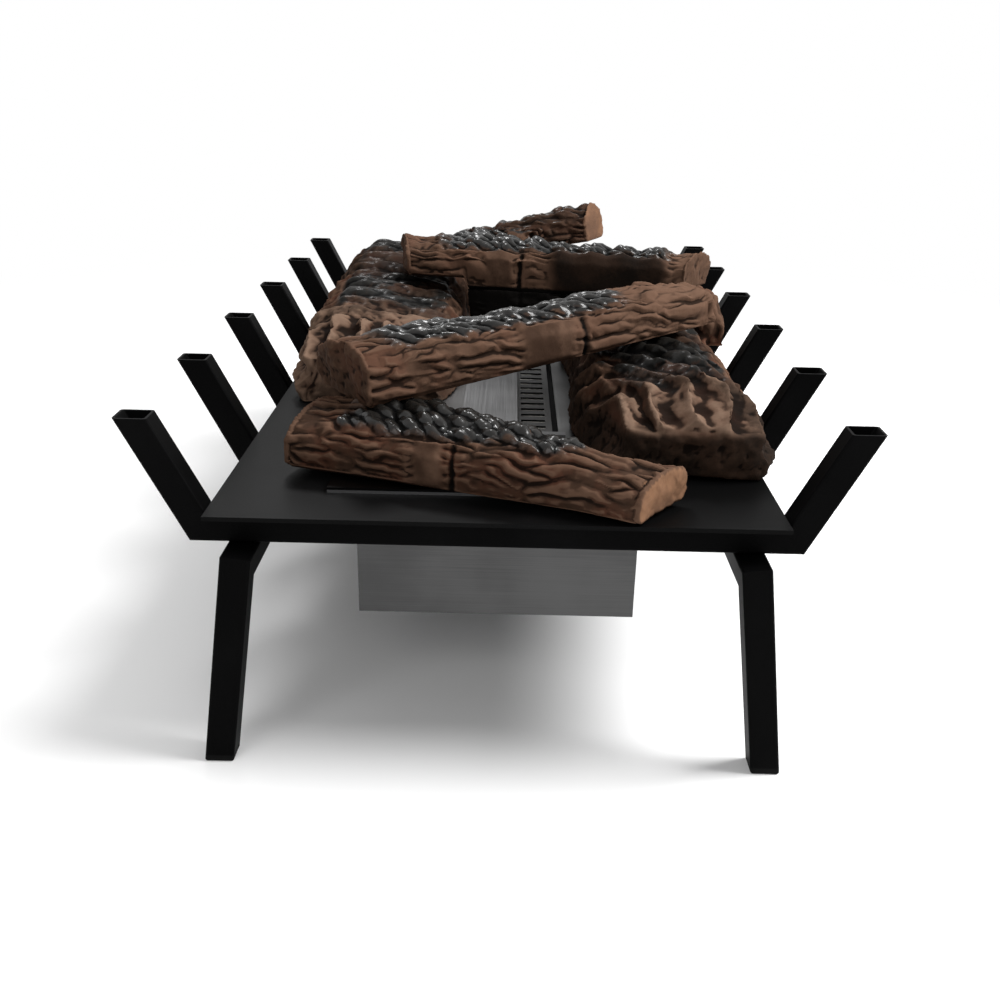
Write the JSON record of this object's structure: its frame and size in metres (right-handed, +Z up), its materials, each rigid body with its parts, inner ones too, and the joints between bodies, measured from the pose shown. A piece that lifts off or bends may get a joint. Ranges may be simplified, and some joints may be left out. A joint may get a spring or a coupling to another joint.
{
  "type": "bioethanol fire grate",
  "caption": "Black square-tube fire grate with upturned prongs, a drop-in steel bioethanol burner with a sliding snuffer lid, and charred ceramic logs.",
  "frame": {"origin": "on the floor, under the middle of the grate", "axes": "+Z up, Y along the long side of the grate with the near end at -Y, prongs at -X and +X"},
  "size_m": [0.4926, 0.797, 0.3179],
  "materials": {
    "black_coat": "satin",
    "foot_plastic": "matte",
    "burner_steel": "brushed",
    "ceramic_wool": "matte",
    "log_ceramic": "matte"
  },
  "bodies": {
    "grate": {"top_plate": "black_coat", "crossbar_1": "black_coat", "crossbar_6": "black_coat", "side_arm_left_2": "black_coat", "side_arm_left_3": "black_coat", "side_arm_left_4": "black_coat", "side_arm_left_5": "black_coat", "prong_left_1": "black_coat", "prong_left_2": "black_coat", "prong_left_3": "black_coat", "prong_left_4": "black_coat", "prong_left_5": "black_coat", "prong_left_6": "black_coat", "rail_left": "black_coat", "leg_left_near": "black_coat", "leg_left_far": "black_coat", "side_arm_right_2": "black_coat", "side_arm_right_3": "black_coat", "side_arm_right_4": "black_coat", "side_arm_right_5": "black_coat", "prong_right_1": "black_coat", "prong_right_2": "black_coat", "prong_right_3": "black_coat", "prong_right_4": "black_coat", "prong_right_5": "black_coat", "prong_right_6": "black_coat", "rail_right": "black_coat", "leg_right_near": "black_coat", "leg_right_far": "black_coat", "foot_cap_left_near": "foot_plastic", "foot_cap_left_far": "foot_plastic", "foot_cap_right_near": "foot_plastic", "foot_cap_right_far": "foot_plastic"},
    "burner": {"burner_deck": "burner_steel", "burner_casing": "burner_steel", "fuel_tank": "burner_steel", "fuel_wool": "ceramic_wool", "mouth_ledge": "burner_steel", "flame_grille": "burner_steel", "lid_guide_near": "burner_steel", "lid_guide_far": "burner_steel"},
    "snuffer_lid": {"snuffer_lid": "burner_steel"},
    "log_right": {"log_right": "log_ceramic"},
    "log_left": {"log_left": "log_ceramic"},
    "log_front": {"log_front": "log_ceramic"},
    "log_middle": {"log_middle": "log_ceramic"},
    "log_back": {"log_back": "log_ceramic"}
  },
  "joints": [
    {"name": "burner_lift", "type": "slide", "parent": "grate", "child": "burner", "axis": [0, 0, 1], "range_m": [0, 0.12]},
    {"name": "snuffer_lid_slide", "type": "slide", "parent": "burner", "child": "snuffer_lid", "axis": [1, 0, 0], "range_m": [0, 0.036]},
    {"name": "log_right_lift", "type": "slide", "parent": "burner", "child": "log_right", "axis": [0, 0, 1], "range_m": [0, 0.15]},
    {"name": "log_left_lift", "type": "slide", "parent": "log_right", "child": "log_left", "axis": [0, 0, 1], "range_m": [0, 0.15]},
    {"name": "log_front_lift", "type": "slide", "parent": "log_left", "child": "log_front", "axis": [0, 0, 1], "range_m": [0, 0.15]},
    {"name": "log_middle_lift", "type": "slide", "parent": "log_front", "child": "log_middle", "axis": [0, 0, 1], "range_m": [0, 0.15]},
    {"name": "log_back_lift", "type": "slide", "parent": "log_middle", "child": "log_back", "axis": [0, 0, 1], "range_m": [0, 0.15]}
  ]
}
